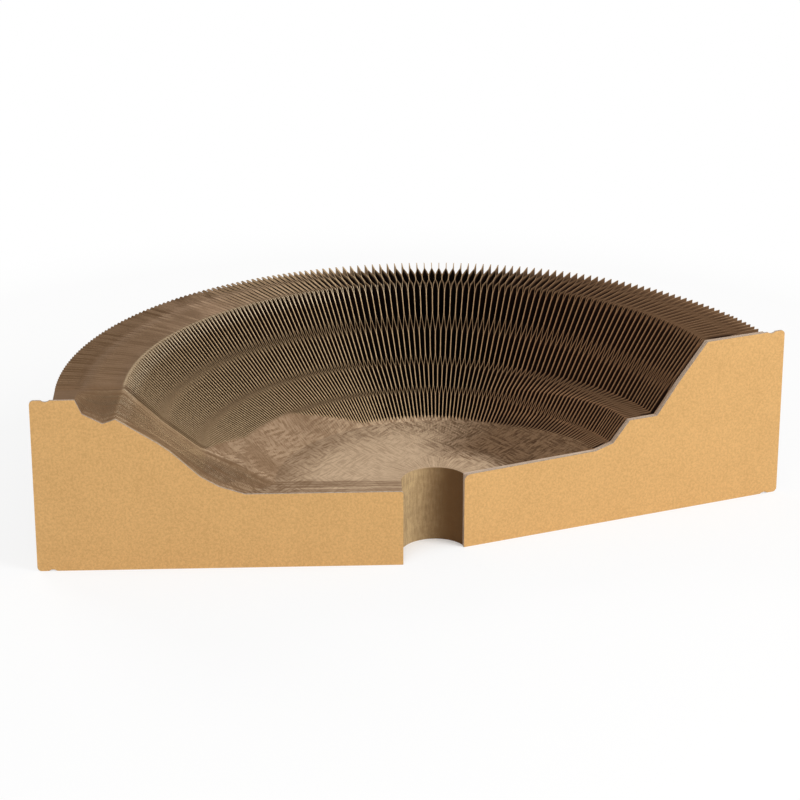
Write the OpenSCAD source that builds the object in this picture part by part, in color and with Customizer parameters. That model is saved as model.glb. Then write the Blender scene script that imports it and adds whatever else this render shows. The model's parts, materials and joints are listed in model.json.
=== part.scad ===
// Fold-out cat scratcher: a stack of paper sheets between two cover boards.
// The sheets are glued to each other in alternating strips, so that the stack
// opens like a fan round its inner edges and makes a bowl-shaped bed.
// The origin is on the floor, under the middle of the half-opened fan.

/* [Cover boards] */
// Length of a cover board
cover_length = 330; // [290:1:380]
// Height of a cover board at its outer end
cover_height = 165; // [130:1:200]
// Height of the seat above the floor
seat_height = 72; // [55:1:90]
// Thickness of a cover board
board_thickness = 2; // [1:0.1:3]
// How far a cover board stands past the inner edges of the sheets
inner_lip = 1; // [0.5:0.5:6]
// How far a cover board stands past the outer ends of the sheets
outer_lip = 21; // [12:1:28]
// Radius of the right cover's upper inner corner
right_corner_radius = 6; // [3:0.5:10]
// Radius of the left cover's upper inner corner
left_corner_radius = 2; // [1:0.5:5]
// Radius of the two outer corners of a cover board
end_corner_radius = 4; // [2:0.5:6]

/* [Edge notches] */
// Distance from the middle of a notch to the outer end of its cover board
notch_inset = 14; // [12:0.5:20]
// Radius of the cutter that makes a notch
notch_radius = 6; // [4:0.5:7]
// Depth of a notch in the upper and lower edge
notch_depth = 1.5; // [0.6:0.1:2]

/* [Paper] */
// Thickness of one paper sheet
sheet_thickness = 0.3; // [0.2:0.05:0.35]
// Gap that the glue leaves between two glued walls
glue_gap = 0.14; // [0.1:0.01:0.2]
// Distance from the inner edge of a sheet to its first crossover
first_crossover = 10.5; // [8:0.5:20]
// Distance from one crossover to the next
crossover_pitch = 34; // [30:0.5:40]
// Length of a crossover, where a wall swings from one neighbour to the other
crossover_length = 9; // [6:0.5:14]
// Sheets in the step from one carrier sheet to the next
sheets_per_step = 8; // [6:2:8]

/* [Stack and fan] */
// Stack thickness in the step from one carrier sheet to the next
step_thickness = 4.85; // [4.4:0.05:6]
// Angle between the carrier sheets at the two ends of the open fan
fan_angle = 159.2; // [140:0.1:170]
// Steps that are fanned out
fan_steps = 17; // [15:1:19]
// Steps at the left end that are still folded flat
folded_steps = 5; // [3:1:7]
// Room between the two cover boards when the ring is closed
seam_clearance = 0.4; // [0.2:0.1:1]

/* [Hidden] */
// Outlines of the upper edge, as points of [share of the cover length from the
// inner edges of the sheets, share of the rise from the seat to the outer height].
// Points: seat, foot, step foot, step top, ledge end, shoulder, ridge, valley, valley
// side, rim, end
right_outline_shares = [[0, 0], [0.402, 0.018], [0.456, 0.072], [0.507, 0.29], [0.593, 0.29],
    [0.659, 0.61], [0.747, 1], [0.8, 1], [0.83, 1], [0.87, 1], [1, 1]];
middle_outline_shares = [[0, 0], [0.345, 0], [0.39, 0.095], [0.444, 0.21], [0.547, 0.386],
    [0.65, 0.675], [0.745, 1], [0.8, 1], [0.83, 1], [0.87, 1], [1, 1]];
left_outline_shares = [[0, 0], [0.427, 0], [0.496, 0.082], [0.547, 0.19], [0.626, 0.454],
    [0.66, 0.545], [0.77, 0.795], [0.804, 0.752], [0.858, 0.854], [0.876, 1], [1, 1]];
// The share of the stack at which the middle outline starts. It ends where the
// folded steps start.
middle_start_share = 0.35;

step_count = fan_steps + folded_steps;
middle_end_share = fan_steps / step_count;
sheet_length = cover_length - inner_lip - outer_lip;
crossover_count = ceil((sheet_length - first_crossover) / crossover_pitch);
wall_offset = (sheet_thickness + glue_gap) / 2;
cut_overrun = 1;
paper_color = [0.6, 0.48, 0.33];
carrier_color = [0.68, 0.56, 0.4];
board_color = [0.84, 0.68, 0.44];
notch_facets = 48;
corner_facets = 8;

// Angle of one step of the fan at rest
fan_step_angle = fan_angle / fan_steps;

function step_angle(k) = k < fan_steps ? fan_step_angle : 0;

// The steps next to the covers are a little thinner than those opposite them,
// so that the fully opened ring closes with room for both cover boards.
seam_width = 2 * board_thickness + seam_clearance;
pitch_change = 2 * seam_width / step_count / cos(180 / step_count);

function step_pitch(k) = step_thickness - pitch_change * cos(360 * (k + 0.5) / step_count);

// A place is [x, y, heading]: the inner edge of a sheet and the way it points
first_heading = 90 - fan_angle / 2;

function side_of(heading) = [-sin(heading), cos(heading)];

// The place of the sheet at a share of a step from the carrier sheet that starts it
function place_in_step(start, k, share) =
    let (turn = step_angle(k), pitch = step_pitch(k))
    turn > 0
        ? let (
            radius = pitch / 2 / tan(turn / 2),
            h = start[2],
            g = h + share * turn
          )
          [
            start[0] + radius * (cos(g) - cos(h)),
            start[1] + radius * (sin(g) - sin(h)),
            g
          ]
        : [
            start[0] + share * pitch * side_of(start[2])[0],
            start[1] + share * pitch * side_of(start[2])[1],
            start[2]
          ];

first_step_radius = step_pitch(0) / 2 / tan(fan_step_angle / 2);
first_place = [
    first_step_radius * cos(first_heading),
    first_step_radius * sin(first_heading),
    first_heading
];

// Places of the right cover, the carrier sheets in turn and the left cover
function places_from(place, k) =
    k == step_count ? [place] : concat([place], places_from(place_in_step(place, k, 1), k + 1));

chain = places_from(first_place, 0);

// Middle of the footprint: the covers' ends give its sides and front, the rim its back
function reach(place, along, across) = [
    place[0] + along * cos(place[2]) + across * side_of(place[2])[0],
    place[1] + along * sin(place[2]) + across * side_of(place[2])[1]
];

cover_end = cover_length - inner_lip;
footprint_right = reach(chain[0], cover_end, -board_thickness)[0];
footprint_left = reach(chain[step_count], cover_end, board_thickness)[0];
footprint_front = reach(chain[step_count], -inner_lip, board_thickness)[1];
footprint_back = max([
    for (k = [0:step_count - 1], i = [0:sheets_per_step - 1])
        reach(place_in_step(chain[k], k, i / sheets_per_step), sheet_length, 0)[1]
]);
footprint_middle = [
    (footprint_left + footprint_right) / 2,
    (footprint_front + footprint_back) / 2
];

// Outline of the upper edge at a share of the stack, from the right cover to the left one
function smooth(x) = let (t = min(1, max(0, x))) t * t * (3 - 2 * t);

function mixed(a, b, share) = [for (i = [0:len(a) - 1]) a[i] + (b[i] - a[i]) * share];

function outline_shares(share) =
    share < middle_end_share
        ? mixed(right_outline_shares, middle_outline_shares, smooth(share / middle_start_share))
        : mixed(middle_outline_shares, left_outline_shares,
            smooth((share - middle_end_share) / (1 - middle_end_share)));

function outline_height(share) = seat_height + share * (cover_height - seat_height);

function upper_edge(stack_share, start, end) = [
    [start, outline_height(outline_shares(stack_share)[0][1])],
    for (i = [1:len(middle_outline_shares) - 2])
        let (point = outline_shares(stack_share)[i])
        [point[0] * cover_length, outline_height(point[1])],
    [end, cover_height]
];

// How far a wall stands from its own plane, at a distance from the centre of the fan.
// The lift is where the wall lies when it doesn't lean.
function lean(radius, lean_angle, side, lift) =
    lift + side * max(0, radius * tan(lean_angle) - wall_offset - lift);

// One side of a sheet in plan: a straight wall in each strip, with crossovers between.
// The strip nearest the inner edge is number 0, and the last one runs to the outer end.
function strip_start(strip) =
    strip == 0 ? 0 : first_crossover + (strip - 1) * crossover_pitch + crossover_length / 2;

function strip_end(strip) =
    strip_start(strip + 1) < sheet_length ? strip_start(strip + 1) - crossover_length : sheet_length;

strip_numbers = [for (i = [0:crossover_count]) if (strip_start(i) < sheet_length) i];

function wall_points(radius, lean_low, lean_high, parity, lift, shift) = [
    for (strip = strip_numbers)
        let (
            side = (strip + parity) % 2 == 0 ? 1 : -1,
            lean_angle = side > 0 ? lean_high : lean_low,
            points = [strip_start(strip), strip_end(strip)]
        )
        for (x = points)
            [x, lean(radius + x, lean_angle, side, lift) + shift]
];

// One sheet, standing on the floor along +X, with its outline at the share of the stack
module sheet(stack_share, radius, lean_low, lean_high, parity, lift = 0) {
    low = wall_points(radius, lean_low, lean_high, parity, lift, -sheet_thickness / 2);
    high = wall_points(radius, lean_low, lean_high, parity, lift, sheet_thickness / 2);
    edge = upper_edge(stack_share, -cut_overrun, sheet_length + cut_overrun);
    intersection() {
        linear_extrude(cover_height)
            polygon(concat(low, [for (i = [len(high) - 1:-1:0]) high[i]]));
        rotate([90, 0, 0])
            linear_extrude(cover_height, center = true)
                polygon(concat([[sheet_length + cut_overrun, 0], [-cut_overrun, 0]], edge));
    }
}

module at_place(place) {
    translate([place[0] - footprint_middle[0], place[1] - footprint_middle[1], 0])
        rotate([0, 0, place[2]])
            children();
}

function step_radius(k) =
    step_angle(k) > 0 ? step_pitch(k) / 2 / tan(step_angle(k) / 2) : 0;

// Half the angle between two sheets that follow each other in a step
function half_cell_angle(k) = step_angle(k) / sheets_per_step / 2;

// A carrier sheet, between two steps of the stack
module carrier_sheet(k) {
    lean_angle = min(half_cell_angle(k - 1), half_cell_angle(k));
    color(carrier_color)
        at_place(chain[k])
            sheet(k / step_count, step_radius(k), lean_angle, lean_angle, 0);
}

// The sheets between two carrier sheets. The pack next to the right cover also
// holds the sheet that is glued flat to the board.
module paper_pack(k) {
    cell = half_cell_angle(k);
    first = k == 0 ? 0 : 1;
    color(paper_color)
        for (i = [first:sheets_per_step - 1]) {
            share = i / sheets_per_step;
            place = place_in_step(chain[k], k, share);
            on_board = k == 0 && i == 0;
            lift = on_board ? sheet_thickness / 2 : 0;
            at_place(place)
                sheet((k + share) / step_count, step_radius(k), on_board ? 0 : cell, cell, i, lift);
        }
}

// Points of a quarter turn round a corner, clockwise from the start angle
function corner_arc(x, z, radius, start_angle) = [
    for (i = [0:corner_facets])
        let (angle = start_angle - 90 * i / corner_facets)
        [x + radius * cos(angle), z + radius * sin(angle)]
];

// Outline of a cover board with a rounded upper inner corner, rounded outer corners
// and a notch in each long edge
module cover_outline(stack_share, corner_radius) {
    edge = upper_edge(stack_share, -inner_lip, cover_end);
    end_arc_x = cover_end - end_corner_radius;
    difference() {
        polygon(concat(
            corner_arc(end_arc_x, end_corner_radius, end_corner_radius, 0),
            [[-inner_lip, 0]],
            corner_arc(corner_radius - inner_lip, seat_height - corner_radius, corner_radius, 180),
            [for (i = [1:len(edge) - 2]) edge[i]],
            corner_arc(end_arc_x, cover_height - end_corner_radius, end_corner_radius, 90)
        ));
        for (z = [notch_depth - notch_radius, cover_height - notch_depth + notch_radius])
            translate([cover_end - notch_inset, z])
                circle(notch_radius, $fn = notch_facets);
    }
}

module cover_right() {
    color(board_color)
        at_place(chain[0])
            rotate([90, 0, 0])
                linear_extrude(board_thickness)
                    cover_outline(0, right_corner_radius);
}

module cover_left() {
    color(board_color)
        at_place(chain[step_count])
            translate([0, board_thickness, 0])
                rotate([90, 0, 0])
                    linear_extrude(board_thickness)
                        cover_outline(1, left_corner_radius);
}

function two_digits(n) = n < 10 ? str("0", n) : str(n);

function pack_name(k) = str("paper_pack_", two_digits(k + 1));

function carrier_name(k) = str("carrier_sheet_", two_digits(k));

cover_right();
for (k = [0:step_count - 1])
    paper_pack(k);
for (k = [1:step_count - 1])
    carrier_sheet(k);
cover_left();
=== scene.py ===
import json
import math
import bpy
import numpy as np
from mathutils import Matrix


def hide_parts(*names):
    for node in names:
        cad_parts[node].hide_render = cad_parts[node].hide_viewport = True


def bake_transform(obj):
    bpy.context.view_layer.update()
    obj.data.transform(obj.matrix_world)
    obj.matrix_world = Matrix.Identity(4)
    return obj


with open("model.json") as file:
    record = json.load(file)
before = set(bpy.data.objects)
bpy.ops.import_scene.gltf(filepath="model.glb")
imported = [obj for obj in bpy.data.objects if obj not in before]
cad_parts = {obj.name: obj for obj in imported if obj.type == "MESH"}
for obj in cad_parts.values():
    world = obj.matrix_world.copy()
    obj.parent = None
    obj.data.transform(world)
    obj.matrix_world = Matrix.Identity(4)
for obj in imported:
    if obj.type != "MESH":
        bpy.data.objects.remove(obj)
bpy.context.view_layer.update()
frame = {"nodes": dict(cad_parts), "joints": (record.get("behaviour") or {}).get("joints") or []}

# Sizes of the stack, in metres and degrees, as in the part's source
stack = {
    "coverLength": 0.330,
    "coverHeight": 0.165,
    "seatHeight": 0.072,
    "boardThickness": 0.002,
    "innerLip": 0.001,
    "outerLip": 0.021,
    "firstCrossover": 0.0105,
    "crossoverPitch": 0.034,
    "crossoverLength": 0.009,
    "stepThickness": 0.00485,
    "fanAngle": 159.2,
    "fanSteps": 17,
    "foldedSteps": 5,
    "rootStep": 9,
    "seamClearance": 0.0004,
}

# Upper edges as [share of the cover length, share of the rise from the seat]
outlines = {
    "right": [[0, 0], [0.402, 0.018], [0.456, 0.072], [0.507, 0.29], [0.593, 0.29],
              [0.659, 0.61], [0.747, 1], [0.8, 1], [0.83, 1], [0.87, 1]],
    "middle": [[0, 0], [0.345, 0], [0.39, 0.095], [0.444, 0.21], [0.547, 0.386],
               [0.65, 0.675], [0.745, 1], [0.8, 1], [0.83, 1], [0.87, 1]],
    "left": [[0, 0], [0.427, 0], [0.496, 0.082], [0.547, 0.19], [0.626, 0.454],
             [0.66, 0.545], [0.77, 0.795], [0.804, 0.752], [0.858, 0.854], [0.876, 1]],
    "middleStart": 0.35,  # share of the stack where the middle outline is reached
    "ridgePoint": 6,  # number of the point where the rim starts
}

# The sheets: how many in a step, from [step, sheets] points, and how thick. Their
# upper edges are a little frayed. Where claws have matted them, on the seat and on
# the left half of the rim, each edge spreads over the whole slot of its sheet.
sheets = {
    "perStep": [[0, 17.5], [0.74, 17.5], [0.76, 59], [0.98, 59], [1.02, 14.75],
                [8.7, 14.75], [9.6, 19.3], [16.6, 19.3], [17.2, 17.5], [22, 17.5]],
    "flatShare": 0.75,  # of the first step, where the sheets lie flat on the board
    "thickness": 0.00024,
    "frayedThickness": 0.00042,
    "frayDepth": 0.0015,
    "mostThickness": 0.003,
    "thicknessShare": 0.85,  # of its slot that a sheet may fill
    "mattedShare": 0.99,  # of its slot that a matted edge fills
    "pairShare": 0.48,  # thicknesses from the side of the slot where two sheets meet
    "seatEnd": [[0, 0.41], [4, 0.352], [10, 0.352], [12.5, 0.44], [15, 0.45], [17, 0.53],
                [22, 0.53]],
    "rimMatting": [[8.5, 0], [12, 1]],
    "mattingFade": 0.004,
    "boreFade": 0.003,
    "crossoverColumns": 1,  # between the two ends of a crossover
    "leastSwing": 0.006,
    "swingShare": 0.065,  # of the distance from the hole
    "leastColumn": 0.00005,
    "groupBounds": [0, 0.05, 0.15, 0.35, 0.65, 0.85, 0.95, 1],
    "blendRadius": 0.28,
}

stepCount = stack["fanSteps"] + stack["foldedSteps"]
sheetLength = stack["coverLength"] - stack["innerLip"] - stack["outerLip"]
fanStepAngle = math.radians(stack["fanAngle"] / stack["fanSteps"])
seamWidth = 2 * stack["boardThickness"] + stack["seamClearance"]
pitchChange = 2 * seamWidth / stepCount / math.cos(math.pi / stepCount)


def stepAngle(k):
    return fanStepAngle if k < stack["fanSteps"] else 0.0


# Steps opposite the covers are thicker, so that the full ring has room for the boards
def stepPitch(k):
    turn = 2 * math.pi * (k + 0.5) / stepCount
    return stack["stepThickness"] - pitchChange * math.cos(turn)


def direction(heading):
    return np.stack([np.cos(heading), np.sin(heading)], -1)


def sideOf(heading):
    return np.stack([-np.sin(heading), np.cos(heading)], -1)


# Where a sheet's inner edge stands, and its heading, at this share of step k
def placeInStep(point, heading, k, share):
    angle, pitch = stepAngle(k), stepPitch(k)
    if angle == 0:
        return point + share * pitch * sideOf(heading), heading
    radius = pitch / 2 / math.tan(angle / 2)
    turned = heading + share * angle
    return point + radius * (direction(turned) - direction(heading)), turned


firstHeading = math.radians(90 - stack["fanAngle"] / 2)
firstRadius = stepPitch(0) / 2 / math.tan(fanStepAngle / 2)
chain = [(firstRadius * direction(np.float64(firstHeading)), np.float64(firstHeading))]
for k in range(stepCount):
    chain.append(placeInStep(chain[k][0], chain[k][1], k, 1))

# The frame's own hinge says where the middle of the fan stands
rootJoint = [j for j in frame["joints"] if j["name"] == "fan_opening"][0]
rootPlace = chain[stack["rootStep"]]
rootHinge = rootPlace[0] + stepPitch(stack["rootStep"]) / 2 * sideOf(rootPlace[1])
fanCentre = np.array(rootJoint["pos_m"][:2]) - rootHinge


# The share of a step's angle that a sheet has turned by. In the first step the
# sheets next to the right board lie flat on it, and the rest make up for them.
def turnShare(k, share):
    flat = sheets["flatShare"] if k == 0 else 0.0
    return max(0.0, (share - flat) / (1 - flat))


# The share of a step at which its sheets have turned by this much
def shareOfTurn(k, turn):
    flat = sheets["flatShare"] if k == 0 and turn > 0 else 0.0
    return flat + turn * (1 - flat)


# Where a sheet's inner edge stands, and its heading, at a place in the whole stack:
# 0 is the right cover and 22 the left
def placeAt(u):
    k = int(min(stepCount - 1, max(0, math.floor(u))))
    point = placeInStep(chain[k][0], chain[k][1], k, u - k)[0]
    return point + fanCentre, chain[k][1] + turnShare(k, u - k) * stepAngle(k)


def smooth(x):
    t = np.clip(x, 0, 1)
    return t * t * (3 - 2 * t)


# Where a smooth step, such as the one in a blend, has reached w
def unsmooth(w):
    return 0.5 - math.sin(math.asin(1 - 2 * w) / 3)


def outlineAt(u):
    share = u / stepCount
    right, middle, left = (np.array(outlines[name], float)
                           for name in ("right", "middle", "left"))
    start = stack["fanSteps"] / stepCount
    if share < start:
        return right + (middle - right) * smooth(share / outlines["middleStart"])
    return middle + (left - middle) * smooth((share - start) / (1 - start))


def topEdge(u, along):
    points = outlineAt(u)
    rise = np.interp(along, points[:, 0] * stack["coverLength"], points[:, 1])
    return stack["seatHeight"] + rise * (stack["coverHeight"] - stack["seatHeight"])


def crossovers():
    middles = []
    x = stack["firstCrossover"]
    while x + stack["crossoverLength"] / 2 < sheetLength:
        middles.append(x)
        x += stack["crossoverPitch"]
    return middles


crossoverMiddles = crossovers()


# A wall takes longer to swing across a wide cell, far from the hole
def crossoverHalf(middle):
    return max(sheets["leastSwing"], sheets["swingShare"] * middle) / 2


def tableAt(name, u):
    table = np.array(sheets[name], float)
    return float(np.interp(u, table[:, 0], table[:, 1]))


def seatEnd(u):
    return tableAt("seatEnd", u) * stack["coverLength"]


def ridge(u):
    return outlineAt(u)[outlines["ridgePoint"], 0] * stack["coverLength"]


# How much of each edge is matted: 1 on the seat and on the left half of the rim
def mattingAt(u, along):
    fade = sheets["mattingFade"]
    seat = 1 - smooth((along - seatEnd(u)) / fade)
    rim = tableAt("rimMatting", u) * smooth((along - ridge(u)) / fade)
    return np.maximum(seat, rim)


# Columns of a sheet: its ends, its crossovers and the corners of its upper edge
def sheetColumns(u):
    inner = sheets["crossoverColumns"]
    xs = [0.0, sheets["boreFade"], sheetLength]
    xs += [x + f for x in (seatEnd(u), ridge(u)) for f in (0, sheets["mattingFade"])]
    for c in crossoverMiddles:
        xs += list(np.linspace(c - crossoverHalf(c), c + crossoverHalf(c), inner + 2))
    corners = np.delete(outlineAt(u)[:, 0], [0, outlines["ridgePoint"]])
    xs += list(corners * stack["coverLength"])
    xs = np.sort(np.array(xs))
    for i in range(1, len(xs)):
        xs[i] = max(xs[i], xs[i - 1] + sheets["leastColumn"])
    return xs


# Every sheet has the same number of columns, and three rows: its foot, the place
# where the fraying starts and its upper edge
columnCount = len(sheetColumns(1.0))
rowCount = 3


# Where a wall stands between its two neighbours: 0 beside the last, 1 beside the next
def wallSide(along, parity):
    side = np.full(len(along), 1.0 if parity % 2 == 0 else 0.0)
    for i, c in enumerate(crossoverMiddles):
        after = 1.0 if (i + 1 + parity) % 2 == 0 else 0.0
        t = np.clip((along - c) / crossoverHalf(c) / 2 + 0.5, 0, 1)
        side = side + (after - side) * t
    return side


# 1 in the middle of each crossover, and 0 where the wall runs straight
def crossingAt(along):
    return np.max([1 - np.minimum(1, np.abs(along - c) / crossoverHalf(c))
                   for c in crossoverMiddles], axis=0)


def sheetSpacing(u):
    return 1 / tableAt("perStep", u)


def sheetPlaces():
    places, u = [], 0.0
    while True:
        u += sheetSpacing(u)
        if u > stepCount - 0.5 * sheetSpacing(stepCount):
            return places
        places.append(u - 0.5 * sheetSpacing(u))


# The slot that a sheet shares with no other: its two sides in plan
def slotSides(low, high, along):
    return [point + along[:, None] * direction(heading)
            for point, heading in (placeAt(low), placeAt(high))]


# The middle line of a sheet in plan and its thickness at each column. A matted edge
# fills the slot.
def sheetLine(slot, parity, along, mostThickness, matting):
    lowLine, highLine = slot
    room = np.linalg.norm(highLine - lowLine, axis=1)
    thickness = np.minimum(mostThickness, sheets["thicknessShare"] * room)
    away = sheets["pairShare"] * thickness
    side = wallSide(along, parity)
    share = (away + (room - 2 * away) * side) / room
    share = share + (0.5 - share) * matting
    thickness = thickness + (sheets["mattedShare"] * room - thickness) * matting
    return lowLine + (highLine - lowLine) * share[:, None], thickness


def deselectAll():
    for o in bpy.context.selected_objects:
        o.select_set(False)


def makeActive(o):
    deselectAll()
    o.select_set(True)
    bpy.context.view_layer.objects.active = o


# One small class for shader maths: Wire + Wire, 1 - Wire and so on add Math nodes
class Wire:
    def __init__(self, finish, socket):
        self.finish, self.socket = finish, socket

    def math(self, operation, *values):
        return self.finish.node("ShaderNodeMath", {"operation": operation},
                                dict(enumerate(values)))

    def __add__(self, other):
        return self.math("ADD", self, other)

    def __radd__(self, other):
        return self.math("ADD", other, self)

    def __sub__(self, other):
        return self.math("SUBTRACT", self, other)

    def __rsub__(self, other):
        return self.math("SUBTRACT", other, self)

    def __mul__(self, other):
        return self.math("MULTIPLY", self, other)

    def __rmul__(self, other):
        return self.math("MULTIPLY", other, self)

    def __truediv__(self, other):
        return self.math("DIVIDE", self, other)

    def least(self, other):
        return self.math("MINIMUM", self, other)

    def most(self, other):
        return self.math("MAXIMUM", self, other)

    def size(self):
        return self.math("ABSOLUTE", self)

    def wave(self):
        return self.math("SINE", self)

    def ramp(self, low, high):
        return self.finish.node(
            "ShaderNodeMapRange", {"interpolation_type": "SMOOTHSTEP"},
            {"Value": self, "From Min": low, "From Max": high})


# The nodes of a material or of the world
class Finish:
    def __init__(self, data, output="ShaderNodeOutputMaterial"):
        self.data = data
        self.data.use_nodes = True
        self.tree = self.data.node_tree
        self.tree.nodes.clear()
        self.output = self.tree.nodes.new(output)

    def node(self, kind, settings=None, values=None, out=0):
        made = self.tree.nodes.new(kind)
        for key, value in (settings or {}).items():
            setattr(made, key, value)
        for key, value in (values or {}).items():
            if isinstance(value, Wire):
                self.tree.links.new(value.socket, made.inputs[key])
            else:
                made.inputs[key].default_value = value
        return Wire(self, made.outputs[out])

    def place(self, kind="Object"):
        return self.node("ShaderNodeTexCoord", out=kind)

    def attribute(self, name):
        return self.node("ShaderNodeAttribute", {"attribute_name": name}, out="Fac")

    # Object space in units of a grain's own size, which lies turned about Z
    def grainSpace(self, size, turn):
        return self.node("ShaderNodeMapping", {"vector_type": "TEXTURE"}, {
            "Vector": self.place(), "Scale": size, "Rotation": (0, 0, turn)})

    # Space for streaks that run along the sheets, each sheet with its own
    def sheetSpace(self, along, across):
        return self.node("ShaderNodeCombineXYZ", {}, {
            "X": self.attribute("alongSheet") * along,
            "Y": self.attribute("stackPlace") * across})

    # A pattern of grains with a size, of streaks along the sheets, or of round spots
    def pattern(self, look):
        if "grain" in look:
            vector = self.grainSpace(look["grain"], look.get("turn", 0.0))
        elif "along" in look:
            vector = self.sheetSpace(look["along"], look["across"])
        else:
            vector = self.place()
        made = self.node("ShaderNodeTexNoise", {}, {
            "Vector": vector, "Scale": look.get("scale", 1),
            "Detail": look["detail"], "Roughness": look.get("roughness", 0.6)})
        return made.ramp(*look["ramp"]) if "ramp" in look else made

    def mix(self, factor, a, b):
        # the RGBA sockets of a Mix node are number 6 and 7, and its result number 2
        return self.node("ShaderNodeMix", {"data_type": "RGBA"},
                         {0: factor, 6: a, 7: b}, out=2)

    def bump(self, height, strength, distance):
        return self.node("ShaderNodeBump", {}, {
            "Height": height, "Strength": strength, "Distance": distance}, out="Normal")

    def show(self, shader):
        self.tree.links.new(shader.socket, self.output.inputs["Surface"])
        return self.data

    def surface(self, values):
        return self.show(self.node("ShaderNodeBsdfPrincipled", {}, values))


board = {
    "light": (0.77, 0.46, 0.182, 1),
    "dark": (0.62, 0.36, 0.135, 1),
    "fibre": (0.48, 0.27, 0.10, 1),
    "edge": (0.60, 0.48, 0.38, 1),
    "edgeDark": (0.36, 0.27, 0.20, 1),
    "facing": (0.6, 0.9),  # how squarely a face looks sideways, from cut edge to face
    "speckles": {"scale": 480, "detail": 4, "roughness": 0.75, "ramp": (0.36, 0.64)},
    "speckleShare": 0.8,
    "speckleHeight": 0.5,
    "clouds": {"scale": 26, "detail": 3, "roughness": 0.5, "ramp": (0.3, 0.7)},
    "cloudShare": 0.15,
    "fibres": {"grain": (0.0011, 0.0011, 0.0038), "detail": 2, "ramp": (0.66, 0.74)},
    "fibreShare": 0.35,
    "plies": {"grain": (0.0014, 0.0014, 0.011), "detail": 2, "ramp": (0.35, 0.65)},
    "tooth": {"scale": 1500, "detail": 2, "roughness": 0.5},
    "bumpStrength": 0.25,
    "bumpDistance": 0.0003,
    "roughness": 0.82,
    "specular": 0.25,
}


# Kraft board: speckled faces, and greyer cut edges with the plies showing
def boardFinish(name, normal):
    m = Finish(bpy.data.materials.new(name))
    facing = m.node("ShaderNodeVectorMath", {"operation": "DOT_PRODUCT"},
                    {0: m.place("Normal"), 1: normal}, out="Value").size()
    cut = 1 - facing.ramp(*board["facing"])
    speckle = m.pattern(board["speckles"])
    cloud = m.pattern(board["clouds"])
    lighter = speckle * board["speckleShare"] + cloud * board["cloudShare"]
    face = m.mix(lighter, board["dark"], board["light"])
    face = m.mix(m.pattern(board["fibres"]) * board["fibreShare"], face, board["fibre"])
    edge = m.mix(m.pattern(board["plies"]), board["edgeDark"], board["edge"])
    height = speckle * board["speckleHeight"] + m.pattern(board["tooth"])
    return m.surface({
        "Base Color": m.mix(cut, face, edge),
        "Roughness": board["roughness"],
        "Specular IOR Level": board["specular"],
        "Normal": m.bump(height, board["bumpStrength"], board["bumpDistance"]),
    })


# What the walls and the edges of the sheets share. Here and below a pair of numbers
# says where a look starts and where it is full: in metres, in steps of the stack or,
# for a pattern, in its own strength.
paper = {
    # painted light: the lit top of the walls
    "wallTopLit": (0.46, 0.315, 0.18, 1),
    # painted shade: the walls deep in the cells
    "wallDeepShade": (0.022, 0.009, 0.005, 1),
    # the walls' dark fibres, and also the colour of painted shade on walls and edges
    "wallDark": (0.14, 0.08, 0.042, 1),
    "cut": (0.68, 0.48, 0.275, 1),
    "cutDark": (0.46, 0.31, 0.165, 1),
    # painted shade: the cut edges on the shaded right of the fan, partly browner paper
    "cutShadedBrown": (0.295, 0.152, 0.075, 1),
    # painted highlight: the lit band along the ridge
    "ridge": (0.94, 0.75, 0.51, 1),
    "seat": (0.66, 0.475, 0.31, 1),
    "seatDark": (0.22, 0.13, 0.07, 1),
    # painted shade: the seat on the shaded right of the fan
    "seatShadedBrown": (0.07, 0.035, 0.016, 1),
    "rim": (0.54, 0.36, 0.23, 1),
    "rimDark": (0.15, 0.086, 0.044, 1),
    "bore": (0.55, 0.39, 0.205, 1),
    # painted shade: the wall round the hole on its shaded right side
    "boreShadedDark": (0.125, 0.062, 0.024, 1),
    "flat": (0.72, 0.56, 0.43, 1),
    "flatDark": (0.46, 0.34, 0.25, 1),
    # painted light and shade: the steps, and the reach from the hole, over which the paper goes
    # from painted shade to lit
    "lightSteps": (4.0, 9.0),
    "holeLight": (0.055, 0.02),
    "levelSlope": (0.7, 0.1),  # rise per length of the upper edge
    "foldFade": 0.6,  # steps before the folded ones
    "longStreaks": {"along": 4, "across": 1.7, "detail": 2, "ramp": (0.43, 0.55)},
    "longShare": 0.7,
    "shortStreaks": {"along": 75, "across": 1.7, "detail": 2, "ramp": (0.42, 0.58)},
    "shortShare": 0.3,
    "foldShare": 0.85,
    "specular": 0.1,
}


# How lit the paper is painted: darker on the right of the fan, away from the hole, partly
# browner paper and partly painted shade where that side lies in shade
def toneAndPaintedShade(m):
    stackPlace, along = m.attribute("stackPlace"), m.attribute("alongSheet")
    return stackPlace.ramp(*paper["lightSteps"]).most(along.ramp(*paper["holeLight"]))


# Where the sheets are still folded, and how dark the brown streaks are on them
def foldStreaks(m):
    foldStart = stack["fanSteps"]
    inFold = m.attribute("stackPlace").ramp(foldStart - paper["foldFade"], foldStart)
    pale = m.pattern(paper["longStreaks"]) * paper["longShare"]
    pale = pale + m.pattern(paper["shortStreaks"]) * paper["shortShare"]
    return inFold, inFold * (1 - pale) * paper["foldShare"]


walls = {
    "fibres": {"grain": (0.0025, 0.0025, 0.008), "detail": 3, "ramp": (0.3, 0.7)},
    "fibreShare": 0.3,
    "endReach": 0.15,  # depth that each metre from the outer end counts for
    # painted shade: how deep into a cell the walls' colour darkens
    "cellShade": (0.03, 0.55),  # in widths of the cell
    # painted shade: on the shaded side, level upper edges are darker than edges sloping up to
    # the light
    "levelDepth": (0.02, 0.006),
    "levelShadeShare": 0.75,
    # painted shade: a dark line on the walls in the gap between the fan and the folded sheets
    "shadeBesideFold": (0.35, 0.15),
    "shadeBesideFoldShare": 0.6,
    "onBoard": (0.1, 0.05),
    "roughness": 0.9,
}
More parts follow.
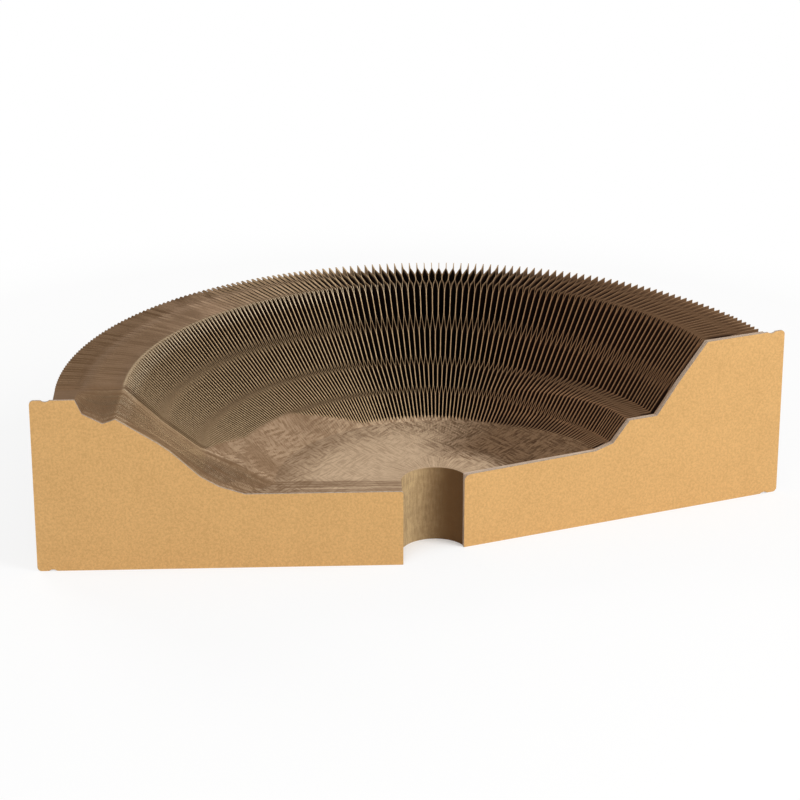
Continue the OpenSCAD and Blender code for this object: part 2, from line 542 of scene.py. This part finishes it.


# Painted light and shade: the walls are painted lit near the edges of the sheets and dark
# in the cells, and in shade on the right of the fan and beside the folded sheets
def wallFinish():
    m = Finish(bpy.data.materials.new("kraftWall"))
    top, stackPlace = m.attribute("depthBelowEdge"), m.attribute("stackPlace")
    fromEnd = sheetLength - m.attribute("alongSheet")
    opening = top.least(fromEnd * walls["endReach"]) / m.attribute("cellWidth")
    fibre = m.pattern(walls["fibres"]) * walls["fibreShare"]
    lit = m.mix(fibre, paper["wallTopLit"], paper["wallDark"])
    # painted shade: darker just below an upper edge that runs level
    levelShade = m.attribute("slope").ramp(*paper["levelSlope"]) * top.ramp(*walls["levelDepth"])
    # painted shade: a shaded brown copy of the walls for the right of the fan
    shadedBrown = m.mix(levelShade * walls["levelShadeShare"], paper["cutShadedBrown"], paper["wallDark"])
    lit = m.mix(toneAndPaintedShade(m), shadedBrown, lit)
    # painted shade: the gap between the fan and the folded sheets
    shadeBesideFold = (stackPlace - stack["fanSteps"]).size().ramp(*walls["shadeBesideFold"])
    lit = m.mix(shadeBesideFold * walls["shadeBesideFoldShare"], lit, paper["wallDark"])
    # painted shade: the walls darken deeper into the cells
    colour = m.mix(opening.ramp(*walls["cellShade"]), lit, paper["wallDeepShade"])
    colour = m.mix(foldStreaks(m)[1], colour, paper["seatDark"])
    colour = m.mix(stackPlace.ramp(*walls["onBoard"]), colour, paper["flatDark"])
    return m.surface({
        "Base Color": colour,
        "Roughness": walls["roughness"],
        "Specular IOR Level": paper["specular"],
    })


seatMarks = {
    "strokes": {"grain": (0.014, 0.0024, 0.01), "turn": 0.75, "detail": 3,
                "ramp": (0.4, 0.57)},
    "crossed": {"grain": (0.014, 0.0024, 0.01), "turn": -1.15, "detail": 3,
                "ramp": (0.4, 0.57)},
    "turned": {"scale": 45, "detail": 2, "roughness": 0.5, "ramp": (0.38, 0.62)},
    "strokeShare": 0.75,
    "radial": {"along": 160, "across": 15, "detail": 3, "ramp": (0.38, 0.58)},
    "radialShare": 0.25,
    # partly combed, partly a painted sheen: the seat is paler near the hole
    "combedSheenReach": (0.10, 0.07),
    "combedSheenSteps": (6, 9),
    "combedSheenShare": 0.45,
    "leastCombedSheen": 0.1,
    "wornReach": (0.07, 0.125),
    "wornSteps": (8, 13),
    "wornPatches": {"scale": 22, "detail": 2, "roughness": 0.5, "ramp": (0.4, 0.6)},
    "wornShare": 0.35,
    "leastWorn": 0.45,
    "nearHole": (0.034, 0.010),
    "nearHoleShare": 0.75,
    "leastLine": 0.35,
}


# How pale the seat is. Claws have left strokes that cross. It is combed paler nearer
# the hole, partly a painted sheen, and worn darker away from it, and right beside the
# hole it has fine lines.
def clawMarks(m, inFold, fineLines):
    along, stackPlace = m.attribute("alongSheet"), m.attribute("stackPlace")
    strokes, crossed = m.pattern(seatMarks["strokes"]), m.pattern(seatMarks["crossed"])
    pale = strokes + (crossed - strokes) * m.pattern(seatMarks["turned"])
    pale = pale * seatMarks["strokeShare"]
    pale = pale + m.pattern(seatMarks["radial"]) * (1 - inFold) * seatMarks["radialShare"]
    # paler near the hole: partly combed, partly a painted sheen
    combedSheen = along.ramp(*seatMarks["combedSheenReach"]) * seatMarks["combedSheenShare"]
    combedSheen = combedSheen + seatMarks["leastCombedSheen"]
    combedSheen = combedSheen * stackPlace.ramp(*seatMarks["combedSheenSteps"])
    pale = pale + (1 - pale) * combedSheen
    patches = m.pattern(seatMarks["wornPatches"]) * seatMarks["wornShare"]
    worn = along.ramp(*seatMarks["wornReach"]) * (seatMarks["leastWorn"] + patches)
    pale = pale * (1 - worn * stackPlace.ramp(*seatMarks["wornSteps"]) * (1 - inFold))
    lines = seatMarks["leastLine"] + fineLines * (1 - seatMarks["leastLine"])
    nearHole = along.ramp(*seatMarks["nearHole"])
    return pale + (lines - pale) * nearHole * seatMarks["nearHoleShare"]


rimMarks = {
    "lightSteps": (15.5, 10.0),
    "leastLight": 0.25,
    "lines": {"along": 14, "across": 9, "detail": 3, "ramp": (0.38, 0.62)},
    "lineShare": 0.5,
    "sheetsPerStep": 19.3,  # as on the left half of the fan
    # painted shade: how dark every second sheet is, for the shaded gaps between sheets
    "gapShadeShare": 0.25,
    "leastLine": 0.25,
}


# The matted rim: lines along it, and every second sheet lighter than the next, the darker
# ones painted shade for the gaps between sheets
def rimColour(m):
    stackPlace = m.attribute("stackPlace")
    least = rimMarks["leastLight"]
    light = least + stackPlace.ramp(*rimMarks["lightSteps"]) * (1 - least)
    # painted shade: every second sheet darker, for the gaps between sheets
    second = (stackPlace * (math.pi * rimMarks["sheetsPerStep"])).wave()
    lines = m.pattern(rimMarks["lines"]) * rimMarks["lineShare"]
    lines = lines + second * rimMarks["gapShadeShare"] + rimMarks["leastLine"]
    return m.mix(lines * light, paper["rimDark"], paper["rim"])


boreMarks = {
    # painted light and shade: steps over which the wall round the hole goes from painted shade
    # to lit
    "lightSteps": (4.0, 13.5),
    "standing": {"grain": (0.0016, 0.0016, 0.012), "detail": 3, "ramp": (0.38, 0.6)},
    "standingShare": 0.3,
    "leastStanding": 0.74,
    "leastLight": 0.06,
    "blotches": {"scale": 170, "detail": 3, "ramp": (0.4, 0.62)},
    "leastBlotch": 0.82,
}


# The wall round the hole: standing streaks and blotches, lighter on the left where it is painted
# lit, and darker on the right in painted shade, partly browner paper
def boreColour(m):
    standing = m.pattern(boreMarks["standing"]) * boreMarks["standingShare"]
    light = m.attribute("stackPlace").ramp(*boreMarks["lightSteps"])
    light = light * (boreMarks["leastStanding"] + standing) + boreMarks["leastLight"]
    least = boreMarks["leastBlotch"]
    light = light * (least + m.pattern(boreMarks["blotches"]) * (1 - least))
    return m.mix(light, paper["boreShadedDark"], paper["bore"])


edges = {
    "mattingDepth": (0.02, 0.005),
    "belowRim": (0.004, 0.03),
    "fineLines": {"along": 30, "across": 13, "detail": 3, "ramp": (0.42, 0.58)},
    "grain": {"scale": 620, "detail": 3, "ramp": (0.3, 0.7)},
    "foldedGrain": {"along": 14, "across": 4, "detail": 3, "ramp": (0.38, 0.6)},
    "brownGrain": 0.4,
    # painted shade: level upper edges, less so on the rim, are darker than sloping ones
    "levelDepth": (0.008, 0.003),
    "levelShadeShare": 0.65,
    "rimLevel": 0.4,
    # painted highlight: the outer tips of the edges are painted lit
    "tipLength": 0.02,
    "litTipShare": 0.5,
    # painted shade: darker cut edges at the crossovers, where the shaded gaps between walls show
    "crossingShadeShare": 0.75,
    # painted highlight: where the band along the ridge is painted lighter
    "ridgeStart": (-0.013, -0.006),  # past the point where the rim starts
    "ridgeEnd": (0.003, 0.0),
    "ridgeSteps": (6.5, 10),
    "ridgeHighlightShare": 0.8,
    "boreReach": (0.0009, 0.0001),
    "boreDepth": (0.0001, 0.0008),
    "boardFade": (0.02, -0.04),  # past the last of the flat sheets
    "bumpStrength": 0.35,
    "bumpDistance": 0.001,
    "roughness": 0.92,
}


# The cut edges are pale, and browner and scratched where claws have matted them.
# The same finish has the wall round the hole and the sheets flat on the right board.
def edgeFinish():
    m = Finish(bpy.data.materials.new("kraftEdge"))
    height = m.node("ShaderNodeSeparateXYZ", {}, {0: m.place()}, out="Z")
    along, stackPlace = m.attribute("alongSheet"), m.attribute("stackPlace")
    top, pastRidge = m.attribute("depthBelowEdge"), m.attribute("pastRidge")
    matting = m.attribute("matting") * top.ramp(*edges["mattingDepth"])
    rimTop, rimFoot = (stack["coverHeight"] - drop for drop in edges["belowRim"])
    low = height.ramp(rimTop, rimFoot)
    light = toneAndPaintedShade(m)
    inFold, foldDark = foldStreaks(m)
    fineLines = m.pattern(edges["fineLines"])

    grain = m.pattern(edges["grain"])
    grain = grain + (m.pattern(edges["foldedGrain"]) - grain) * inFold
    # painted shade: darker where the upper edge runs level
    levelShade = m.attribute("slope").ramp(*paper["levelSlope"]) * top.ramp(*edges["levelDepth"])
    levelShade = levelShade * (edges["rimLevel"] + low * (1 - edges["rimLevel"]))
    plain = m.mix(grain, paper["cutDark"], paper["cut"])
    # painted shade: a shaded brown copy of the cut edges for the right of the fan
    shadedBrown = m.mix(grain * edges["brownGrain"], paper["cutShadedBrown"], paper["cutDark"])
    shadedBrown = m.mix(levelShade * edges["levelShadeShare"], shadedBrown, paper["wallDark"])
    plain = m.mix(light, shadedBrown, plain)
    # painted highlight: the lit outer tips of the edges
    litTip = along.ramp(sheetLength - edges["tipLength"], sheetLength) * (1 - inFold)
    plain = m.mix(litTip * edges["litTipShare"], plain, paper["cut"])
    # painted shade: the crossovers, where the shaded gaps between the walls show
    crossing = m.attribute("crossing") * (1 - inFold) * edges["crossingShadeShare"]
    plain = m.mix(crossing, plain, paper["wallDark"])

    marks = clawMarks(m, inFold, fineLines)
    seat = m.mix(marks, paper["seatDark"], paper["seat"])
    # painted shade: the seat is darker on the right of the fan, where it lies in shade
    seat = m.mix(light, m.mix(marks, paper["seatShadedBrown"], paper["seatDark"]), seat)
    colour = m.mix(matting, plain, m.mix(low, rimColour(m), seat))
    # painted highlight: a light band just inside the ridge, where the edges catch the light
    ridgeHighlight = pastRidge.ramp(*edges["ridgeStart"]) * pastRidge.ramp(*edges["ridgeEnd"])
    ridgeHighlight = ridgeHighlight * stackPlace.ramp(*edges["ridgeSteps"])
    colour = m.mix(ridgeHighlight * edges["ridgeHighlightShare"], colour, paper["ridge"])
    colour = m.mix(foldDark, colour, paper["seatDark"])

    inBore = along.ramp(*edges["boreReach"]) * top.ramp(*edges["boreDepth"])
    colour = m.mix(inBore, colour, boreColour(m))
    boardStart, boardFull = (sheets["flatShare"] + fade for fade in edges["boardFade"])
    flat = m.mix(fineLines, paper["flatDark"], paper["flat"])
    return m.surface({
        "Base Color": m.mix(stackPlace.ramp(boardStart, boardFull), colour, flat),
        "Roughness": edges["roughness"],
        "Specular IOR Level": paper["specular"],
        "Normal": m.bump(marks * matting, edges["bumpStrength"], edges["bumpDistance"]),
    })


view = {
    "fromHole": (-0.5400, -2.2232, 1.0527),  # metres from the middle of the fan
    "pitch": 21.56,
    "heading": -12.8,
    "lens": 123.5,
    "sensor": 36.0,
    "clipEnd": 50,
}


def addCamera():
    data = bpy.data.cameras.new("photoCamera")
    data.lens, data.sensor_width = view["lens"], view["sensor"]
    data.clip_end = view["clipEnd"]
    camera = bpy.data.objects.new("photoCamera", data)
    bpy.context.scene.collection.objects.link(camera)
    camera.location = (fanCentre[0] + view["fromHole"][0],
                       fanCentre[1] + view["fromHole"][1], view["fromHole"][2])
    camera.rotation_euler = (math.radians(90 - view["pitch"]), 0,
                             math.radians(view["heading"]))
    bpy.context.scene.camera = camera


# The camera sees the floor and the backdrop as nearly white, and the object gets
# only what a pale grey floor sends back
studio = {
    "floorSize": 30.0,
    "floorSeen": (0.99, 0.987, 0.983, 1),
    "floorColour": (0.62, 0.60, 0.57, 1),
    "white": (1, 1, 1, 1),
    "shadowReach": (0.30, 0.85),
    "leastGlow": 0.8,
    "contactReach": 0.12,
    "contactShade": (0.1, 0.6),
    "worldStrength": 0.39,
    "lamps": {
        "softKey": {"place": (2.0, -1.8, 1.8), "size": 1.3, "power": 56.0},
        "frontFill": {"place": (-0.9, -2.9, 1.5), "size": 1.8, "power": 32.0},
        "backFill": {"place": (-1.3, 2.7, 1.1), "size": 1.8, "power": 42.0},
    },
}


# An area lamp that faces the middle of the floor
def addLamp(name, lamp):
    data = bpy.data.lights.new(name, "AREA")
    data.energy, data.size = lamp["power"], lamp["size"]
    made = bpy.data.objects.new(name, data)
    bpy.context.scene.collection.objects.link(made)
    made.location = lamp["place"]
    x, y, z = lamp["place"]
    made.rotation_euler = (math.atan2(math.hypot(x, y), z), 0, math.atan2(x, -y))


def addFloor():
    deselectAll()
    bpy.ops.mesh.primitive_plane_add(size=studio["floorSize"], location=(0, 0, 0))
    floor = bpy.context.object
    floor.name = "studioFloor"
    m = Finish(bpy.data.materials.new("studioFloor"))
    seen = m.node("ShaderNodeLightPath", out="Is Camera Ray")
    matte = m.node("ShaderNodeBsdfDiffuse", {}, {
        "Color": m.mix(seen, studio["floorColour"], studio["floorSeen"])})
    white = m.node("ShaderNodeEmission", {}, {"Color": studio["white"], "Strength": 1.0})
    distance = m.node("ShaderNodeVectorMath", {"operation": "LENGTH"}, {0: m.place()},
                      out="Value")
    glow = distance.ramp(*studio["shadowReach"]).most(studio["leastGlow"])
    unshaded = m.node("ShaderNodeAmbientOcclusion", {},
                      {"Distance": studio["contactReach"]}, out="AO")
    glow = glow * unshaded.ramp(*studio["contactShade"])
    m.show(m.node("ShaderNodeMixShader", {}, {0: seen * glow, 1: matte, 2: white}))
    floor.data.materials.append(m.data)


def addWorld():
    m = Finish(bpy.data.worlds.new("studioWorld"), "ShaderNodeOutputWorld")
    bpy.context.scene.world = m.data
    seen = m.node("ShaderNodeLightPath", out="Is Camera Ray")
    soft = m.node("ShaderNodeBackground", {}, {
        "Color": studio["white"], "Strength": studio["worldStrength"]})
    clear = m.node("ShaderNodeBackground", {}, {"Color": studio["white"]})
    m.show(m.node("ShaderNodeMixShader", {}, {0: seen, 1: soft, 2: clear}))


# A flat grid that every sheet starts from
def sheetBlank():
    deselectAll()
    bpy.ops.mesh.primitive_grid_add(x_subdivisions=columnCount - 1,
                                    y_subdivisions=rowCount - 1, size=1)
    blank = bpy.context.object
    blank.name = "sheetBlank"
    return blank


# Moves the vertices of a pile of blanks to their places on the sheets, adds what the
# finishes read, and returns each one's share of the most thickness
def shapeSheets(mesh, members):
    flat = np.empty(len(mesh.vertices) * 3, np.float32)
    mesh.vertices.foreach_get("co", flat)
    flat = flat.reshape(-1, 3)
    column = np.rint((flat[:, 0] + 0.5) * (columnCount - 1)).astype(int)
    row = np.rint((flat[:, 1] + 0.5) * (rowCount - 1)).astype(int)
    copy = np.rint(flat[:, 2]).astype(int)
    place = np.zeros((len(flat), 3))
    weight = np.zeros(len(flat))
    marks = {}
    for i, (low, u, high, parity) in enumerate(members):
        xs = sheetColumns(u)
        tops = topEdge(u, xs)
        slot = slotSides(low, high, xs)
        matted = mattingAt(u, xs)
        bore = 1 - smooth(xs / sheets["boreFade"])
        wall = sheetLine(slot, parity, xs, sheets["thickness"], bore)
        edge = sheetLine(slot, parity, xs, sheets["frayedThickness"],
                         np.maximum(bore, matted))
        rows = ((wall, tops), (wall, sheets["frayDepth"]), (edge, 0))
        for r, ((line, thickness), drop) in enumerate(rows):
            mine = (copy == i) & (row == r)
            c = column[mine]
            place[mine, 0:2] = line[c]
            place[mine, 2] = (tops - drop)[c]
            weight[mine] = thickness[c] / sheets["mostThickness"]
            values = {
                "depthBelowEdge": drop + 0 * tops,
                "alongSheet": xs,
                "matting": matted,
                "stackPlace": u + 0 * xs,
                "cellWidth": 2 * np.linalg.norm(slot[1] - slot[0], axis=1),
                "crossing": crossingAt(xs),
                "pastRidge": xs - ridge(u),
                "slope": np.gradient(tops, xs),
            }
            for label, value in values.items():
                marks.setdefault(label, np.zeros(len(flat)))[mine] = value[c]
    mesh.vertices.foreach_set("co", place.astype(np.float32).ravel())
    for label, mark in marks.items():
        layer = mesh.attributes.new(label, "FLOAT", "POINT")
        layer.data.foreach_set("value", mark.astype(np.float32))
    return weight


def bodyName(k):
    if k == 0:
        return "right_cover"
    if k == stepCount:
        return "left_cover"
    return "middle_sheet" if k == stack["rootStep"] else "sheet_%02d" % k


# How far a sheet that has turned by this share stands from the middle of its group
def acrossStep(k, turn, middle):
    angle = stepAngle(k)
    if angle:
        return sheets["blendRadius"] * math.sin((turn - middle) * angle)
    return (turn - middle) * stepPitch(k)


# Works out where a step's sheets stand between both of its carriers, by the share each
# has turned, though nothing uses it; bakes the piece in place and hides its pack and carrier
def carrySheets(piece, k, lowTurn, highTurn):
    middle = (lowTurn + highTurn) / 2
    point, heading = placeAt(k + shareOfTurn(k, middle))
    t1, t2 = unsmooth(lowTurn), unsmooth(highTurn)
    x1, x2 = acrossStep(k, lowTurn, middle), acrossStep(k, highTurn, middle)
    span = (x2 - x1) / (t2 - t1)
    normal = sideOf(heading)
    start = point + (x1 - t1 * span) * normal
    end = start + span * normal
    bodyName(k)
    bodyName(k + 1)
    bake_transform(piece)
    nodes = ["paper_pack_%02d" % (k + 1)]
    if k > 0:
        nodes.append("carrier_sheet_%02d" % k)
    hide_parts(*nodes)


def addSheets(name, blank, k, lowTurn, highTurn, members, finishes):
    piece = blank.copy()
    piece.data = blank.data.copy()
    piece.name = name
    bpy.context.scene.collection.objects.link(piece)
    makeActive(piece)
    pile = piece.modifiers.new("repeat", "ARRAY")
    pile.count = len(members)
    pile.use_relative_offset, pile.use_constant_offset = False, True
    pile.constant_offset_displace = (0, 0, 1)
    bpy.ops.object.modifier_apply(modifier=pile.name)
    weight = shapeSheets(piece.data, members)
    group = piece.vertex_groups.new(name="thickness")
    for i in range(len(weight)):
        group.add([i], float(weight[i]), "REPLACE")
    for finish in finishes:
        piece.data.materials.append(finish)
    piece.data.update()
    solid = piece.modifiers.new("thickness", "SOLIDIFY")
    solid.thickness, solid.offset = sheets["mostThickness"], 0
    solid.vertex_group = group.name
    solid.use_rim, solid.material_offset_rim = True, 1
    bpy.ops.object.modifier_apply(modifier=solid.name)
    piece.vertex_groups.clear()
    carrySheets(piece, k, lowTurn, highTurn)


addCamera()
addFloor()
addWorld()
for name, lamp in studio["lamps"].items():
    addLamp(name, lamp)
bpy.context.scene.view_settings.view_transform = "Standard"
print("camera and studio ready")

for nodeName, place in (("cover_right", chain[0]), ("cover_left", chain[stepCount])):
    normal = sideOf(place[1])
    finish = boardFinish(nodeName + "Kraft", (float(normal[0]), float(normal[1]), 0.0))
    cover = frame["nodes"][nodeName]
    if cover.material_slots:
        for s in cover.material_slots:
            s.material = finish
    else:
        cover.data.materials.append(finish)
print("cover boards finished")

finishes = [wallFinish(), edgeFinish()]
places = sheetPlaces()
blank = sheetBlank()
bounds = sheets["groupBounds"]
groups = {}
for j, u in enumerate(places):
    low = (places[j - 1] + u) / 2 if j else 0.0
    high = (places[j + 1] + u) / 2 if j + 1 < len(places) else float(stepCount)
    k = min(stepCount - 1, int(u))
    g = max(i for i, b in enumerate(bounds[:-1]) if turnShare(k, u - k) >= b)
    groups.setdefault((k, g), []).append((low, u, high, j))
for (k, g), members in sorted(groups.items()):
    addSheets("paperSheets_%02d_%d" % (k + 1, g + 1), blank, k, bounds[g], bounds[g + 1],
              members, finishes)
bpy.data.objects.remove(blank, do_unlink=True)
print("paper sheets:", len(places), "in", len(groups), "pieces")
